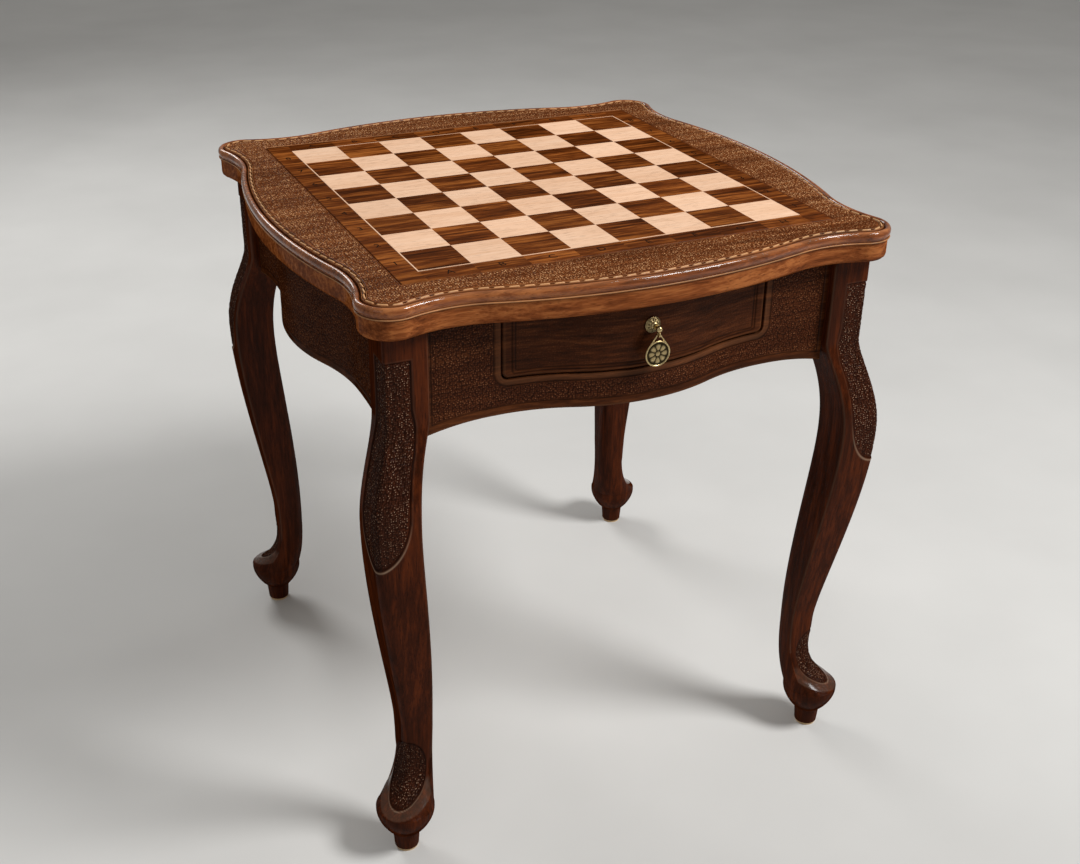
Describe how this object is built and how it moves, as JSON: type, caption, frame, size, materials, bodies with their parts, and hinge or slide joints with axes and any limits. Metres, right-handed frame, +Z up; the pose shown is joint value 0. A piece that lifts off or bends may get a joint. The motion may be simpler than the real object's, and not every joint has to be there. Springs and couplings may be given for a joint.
{
  "type": "chess table",
  "caption": "Square game table with an inlaid chess board, serpentine top, cabriole legs, bowed aprons and a front drawer with a drop pull.",
  "frame": {"origin": "on the floor under the middle of the table", "axes": "+Z up, the drawer faces -Y, +X to the right of someone who sits at the drawer"},
  "size_m": [0.5818, 0.5818, 0.612],
  "materials": {
    "top_wood": "satin lacquer over a matted, punched ground",
    "board_dark": "satin lacquer",
    "board_light": "satin lacquer",
    "leg_wood": "gloss lacquer",
    "apron_wood": "satin lacquer over a matted ground",
    "core_wood": "bare plywood",
    "inner_wood": "bare hardwood",
    "pull_brass": "antique brass, dark in the hollows",
    "fixing_steel": "zinc plated",
    "foot_felt": "tan felt"
  },
  "bodies": {
    "table": {"top_slab": "top_wood", "dark_squares": "board_dark", "border_front": "board_dark", "border_back": "board_dark", "border_left": "board_dark", "border_right": "board_dark", "light_squares": "board_light", "stringing": "board_light", "leg_front_left": "leg_wood", "leg_front_right": "leg_wood", "leg_back_left": "leg_wood", "leg_back_right": "leg_wood", "front_apron": "apron_wood", "back_apron": "apron_wood", "left_apron": "apron_wood", "right_apron": "apron_wood", "board_core": "core_wood", "runner_left": "inner_wood", "runner_right": "inner_wood", "guide_left": "inner_wood", "guide_right": "inner_wood", "kicker_left": "inner_wood", "kicker_right": "inner_wood", "drawer_stops": "inner_wood", "corner_block_front_left": "inner_wood", "corner_block_front_right": "inner_wood", "corner_block_back_left": "inner_wood", "corner_block_back_right": "inner_wood", "top_screws": "fixing_steel", "kicker_screws": "fixing_steel", "felt_pad_front_left": "foot_felt", "felt_pad_front_right": "foot_felt", "felt_pad_back_left": "foot_felt", "felt_pad_back_right": "foot_felt"},
    "drawer": {"drawer_front": "apron_wood", "drawer_side_left": "inner_wood", "drawer_side_right": "inner_wood", "drawer_back": "inner_wood", "drawer_bottom": "inner_wood", "pull_rosette": "pull_brass", "pull_post": "pull_brass", "pull_washer": "fixing_steel", "pull_nut": "fixing_steel"},
    "pendant": {"pull_pendant": "pull_brass"}
  },
  "joints": [
    {"name": "drawer_slide", "type": "slide", "parent": "table", "child": "drawer", "axis": [0, -1, 0], "range_m": [0, 0.24]},
    {"name": "pendant_swing", "type": "hinge", "parent": "drawer", "child": "pendant", "pos_m": [0, -0.2825, 0.5496], "axis": [-1, 0, 0], "range_deg": [-18, 95]}
  ]
}
